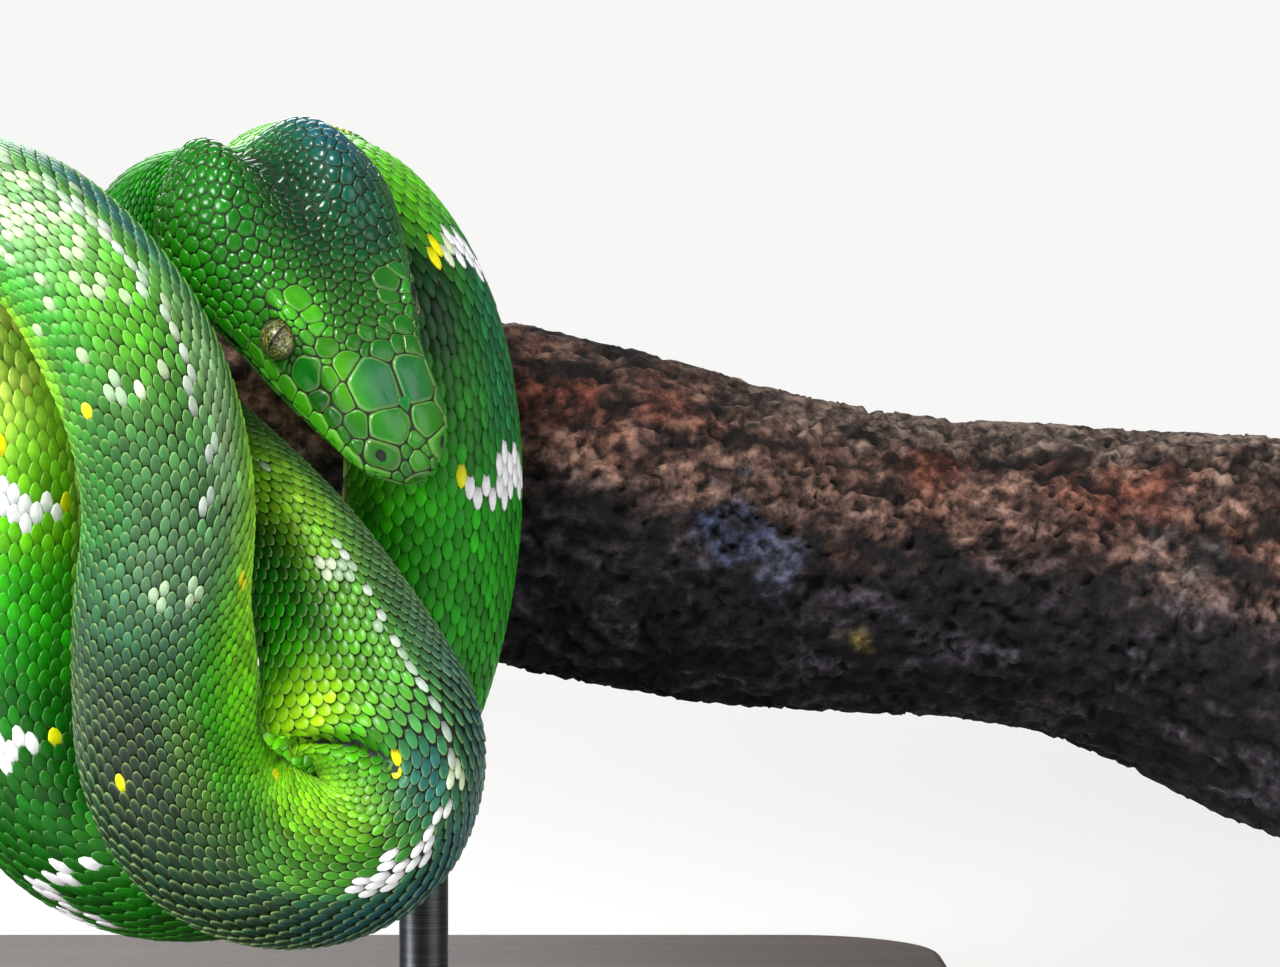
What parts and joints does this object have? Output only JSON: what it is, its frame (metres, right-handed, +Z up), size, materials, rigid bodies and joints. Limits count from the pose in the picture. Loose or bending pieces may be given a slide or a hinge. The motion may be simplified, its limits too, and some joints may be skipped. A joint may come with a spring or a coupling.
{
  "type": "coiled green tree python on a cut branch with a display stand",
  "caption": "Still, life-size tree python draped in loops over a short cut branch, head resting on its front coil, held on a flat base by upright rods.",
  "frame": {"origin": "middle of the underside of the stand's base", "axes": "+Z up, +X to the right along the branch as seen from the front, +Y away from the viewer, so the snake's head hangs on the -Y side"},
  "size_m": [0.3288, 0.1815, 0.1709],
  "materials": {
    "skin": "small smooth overlapping scales, satin",
    "eye": "clear polished, olive-gold iris with a dark upright slit",
    "bark": "rough dark bark with grey lichen, sawn ends",
    "base_wood": "satin oiled wood",
    "rod_steel": "satin drawn"
  },
  "bodies": {
    "root": {"head": "skin", "neck": "skin", "trunk_front_descent": "skin", "trunk_front_hairpin": "skin", "trunk_front_rise": "skin", "trunk_over_left": "skin", "trunk_rear_descent": "skin", "trunk_rear_bend": "skin", "trunk_rear_rise": "skin", "trunk_over_right": "skin", "trunk_ring_descent": "skin", "trunk_ring_bend": "skin", "trunk_ring_rise": "skin", "trunk_over_far_left": "skin", "trunk_under": "skin", "tail_root": "skin", "tail_tip": "skin", "eye_left": "eye", "eye_right": "eye", "perch_branch": "bark", "stand_base": "base_wood", "stand_rod_left": "rod_steel", "stand_rod_right": "rod_steel"}
  },
  "joints": []
}
